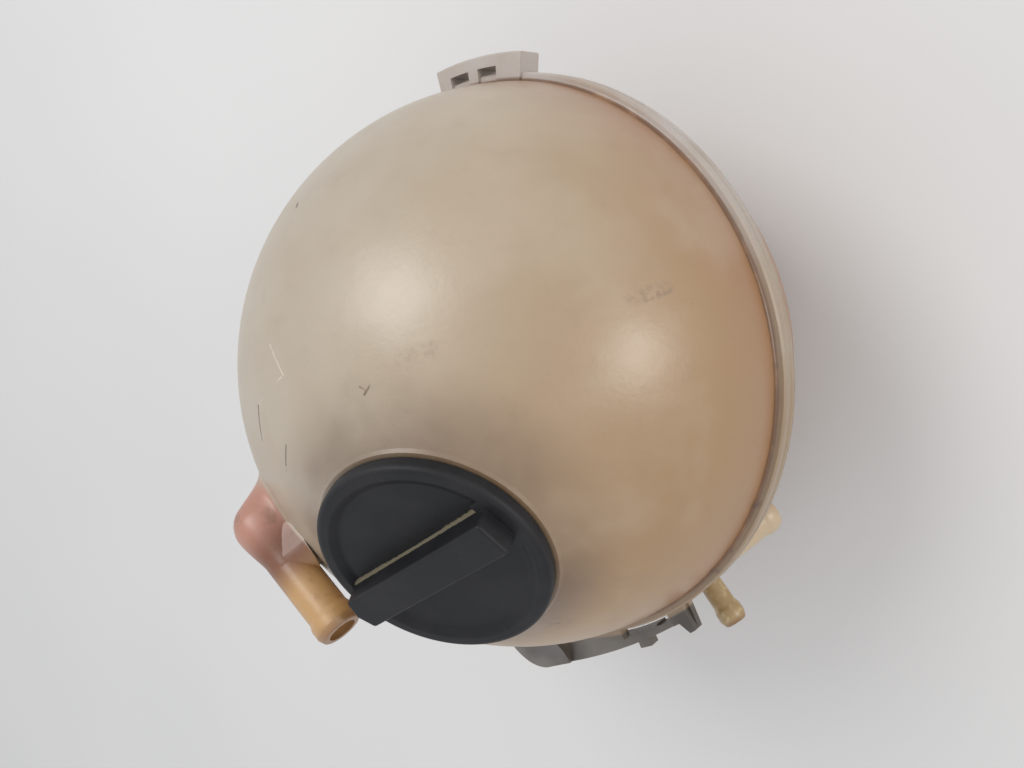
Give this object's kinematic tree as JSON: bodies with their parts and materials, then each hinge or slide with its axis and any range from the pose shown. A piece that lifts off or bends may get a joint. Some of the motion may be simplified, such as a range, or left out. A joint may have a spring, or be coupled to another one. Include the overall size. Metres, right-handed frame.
{
  "type": "coolant expansion tank",
  "caption": "Ball-shaped coolant expansion tank: two welded plastic halves, screw cap with pressure and vacuum valves, hose connections and flange brackets.",
  "frame": {"origin": "in the slot between the flange and the upper bracket's wall, in the weld plane", "axes": "+Z square to the weld plane, towards the cap's side; +Y level, from the ball's centre out through the upper bracket; +X completes a right-handed frame"},
  "size_m": [0.1954, 0.2187, 0.1944],
  "materials": {
    "tank_plastic": "aged translucent polypropylene, satin",
    "cap_plastic": "fine grained black nylon",
    "valve_plastic": "moulded nylon",
    "seal_rubber": "smooth rubber",
    "spring_steel": "drawn spring wire"
  },
  "bodies": {
    "tank": {"upper_shell": "tank_plastic", "lower_shell": "tank_plastic"},
    "valve_unit": {"valve_housing": "valve_plastic", "lower_o_ring": "seal_rubber", "upper_o_ring": "seal_rubber", "spring_retainer": "spring_steel", "relief_spring": "spring_steel"},
    "cover": {"cap_cover": "cap_plastic"},
    "relief_valve": {"relief_plate": "valve_plastic", "relief_seal": "seal_rubber", "vacuum_spring": "spring_steel"},
    "vacuum_unit": {"vacuum_valve": "valve_plastic", "vacuum_seal": "seal_rubber", "vacuum_clip": "spring_steel"}
  },
  "joints": [
    {"name": "cap_rise", "type": "slide", "parent": "tank", "child": "valve_unit", "axis": [0.2973, -0.3945, 0.8695], "range_m": [0, 0.03201]},
    {"name": "cap_turn", "type": "hinge", "parent": "valve_unit", "child": "cover", "pos_m": [0.02705, -0.13475, 0.07912], "axis": [0.2973, -0.3945, 0.8695], "range_deg": [0, 1440]},
    {"name": "relief_lift", "type": "slide", "parent": "valve_unit", "child": "relief_valve", "axis": [0.2973, -0.3945, 0.8695], "range_m": [0, 0.0015], "stiffness_N_per_m": 6000, "deforming": ["relief_spring"]},
    {"name": "vacuum_drop", "type": "slide", "parent": "relief_valve", "child": "vacuum_unit", "axis": [-0.2973, 0.3945, -0.8695], "range_m": [0, 0.0012], "stiffness_N_per_m": 150, "deforming": ["vacuum_spring"]}
  ],
  "couplings": [
    {"joint": "cap_rise", "follows": "cap_turn", "m_per_rad": 0.0012732}
  ]
}
